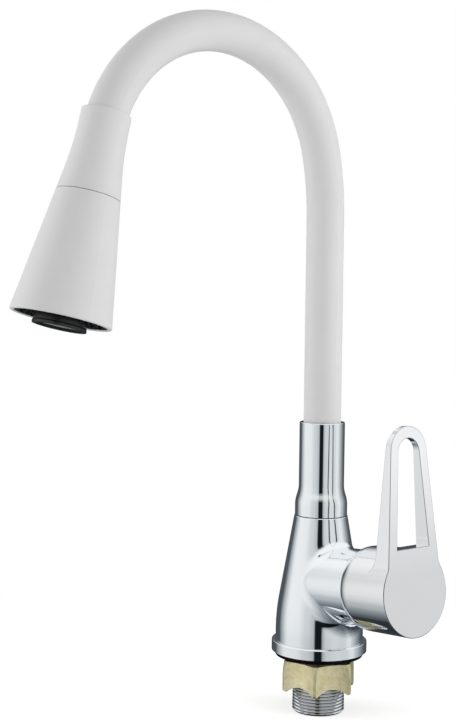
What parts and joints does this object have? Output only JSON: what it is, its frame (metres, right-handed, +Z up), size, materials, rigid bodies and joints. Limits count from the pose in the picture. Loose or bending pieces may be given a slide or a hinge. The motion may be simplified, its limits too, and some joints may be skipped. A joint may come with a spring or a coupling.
{
  "type": "kitchen mixer tap",
  "caption": "Single-lever kitchen mixer tap with a flexible white hose spout, a conical spray head, a chrome body and a looped side lever",
  "frame": {"origin": "on the axis of the body and shank, in the deck plane that the base gasket rests on", "axes": "+Z up along the body; the spout reaches along -Y; the lever's boss points along +X, tilted up 5.1 degrees"},
  "size_m": [0.1159, 0.251, 0.4298],
  "materials": {
    "chrome": "polished chrome plate",
    "lever_chrome": "chrome sides, satin silver front and loop",
    "silicone": "matt white silicone",
    "white_plastic": "soft-touch white plastic",
    "black_plastic": "matt black plastic",
    "dark_plastic": "smooth black plastic",
    "grey_plastic": "moulded grey plastic",
    "black_rubber": "black rubber",
    "cast_brass": "bare sand-cast brass",
    "turned_brass": "machined brass",
    "plated_shank": "nickel-plated brass",
    "steel": "stainless steel",
    "ceramic": "lapped ceramic"
  },
  "bodies": {
    "base": {"tap_body": "chrome", "base_ring": "chrome", "base_gasket": "black_rubber", "mounting_shank": "plated_shank", "spout_lock_screw": "steel", "swivel_washer": "black_plastic", "cartridge_base": "grey_plastic", "cartridge_port_seals": "black_rubber", "fixed_ceramic_disc": "ceramic", "cartridge_housing": "grey_plastic", "cartridge_nut": "turned_brass"},
    "deck_nut": {"lock_nut": "cast_brass"},
    "carrier": {"stem_carrier": "grey_plastic", "pivot_pin": "steel"},
    "disc": {"moving_ceramic_disc": "ceramic", "disc_driver": "grey_plastic"},
    "lever": {"lever_stem": "steel", "lever_handle": "lever_chrome", "lever_set_screw": "steel", "set_screw_plug": "dark_plastic"},
    "spout": {"spout_sleeve": "chrome", "spout_spigot": "turned_brass", "spigot_o_rings": "black_rubber", "hose_root_fitting": "turned_brass", "hose_cover": "silicone", "hose_core": "steel", "water_hose": "dark_plastic", "head_collar": "white_plastic", "hose_end_fitting": "turned_brass", "head_waterway": "grey_plastic", "head_o_ring": "black_rubber"},
    "head": {"head_shell": "white_plastic", "spray_face": "black_plastic", "spray_nozzles": "black_rubber", "aerator_housing": "dark_plastic", "aerator_insert": "grey_plastic", "spray_diverter": "grey_plastic"}
  },
  "joints": [
    {"name": "nut_slide", "type": "slide", "parent": "base", "child": "deck_nut", "axis": [0, 0, -1], "range_m": [-0.0025, 0.012]},
    {"name": "lever_turn", "type": "hinge", "parent": "base", "child": "carrier", "pos_m": [0, 0, 0.0465], "axis": [0.996, 0, 0.0889], "range_deg": [-45, 45]},
    {"name": "lever_lift", "type": "hinge", "parent": "carrier", "child": "lever", "pos_m": [0.03785, 0, 0.04988], "axis": [0, 1, 0], "range_deg": [0, 20]},
    {"name": "disc_slide", "type": "slide", "parent": "carrier", "child": "disc", "axis": [-0.0889, 0, 0.996], "range_m": [0, 0.0042]},
    {"name": "spout_swivel", "type": "hinge", "parent": "base", "child": "spout", "pos_m": [0, 0, 0.0891], "axis": [0, 0, 1], "continuous": true},
    {"name": "head_twist", "type": "hinge", "parent": "spout", "child": "head", "pos_m": [0, -0.19344, 0.21448], "axis": [0, 0.2487, 0.9686], "range_deg": [0, 60]}
  ],
  "couplings": [
    {"joint": "disc_slide", "follows": "lever_lift", "m_per_rad": 0.01176}
  ]
}
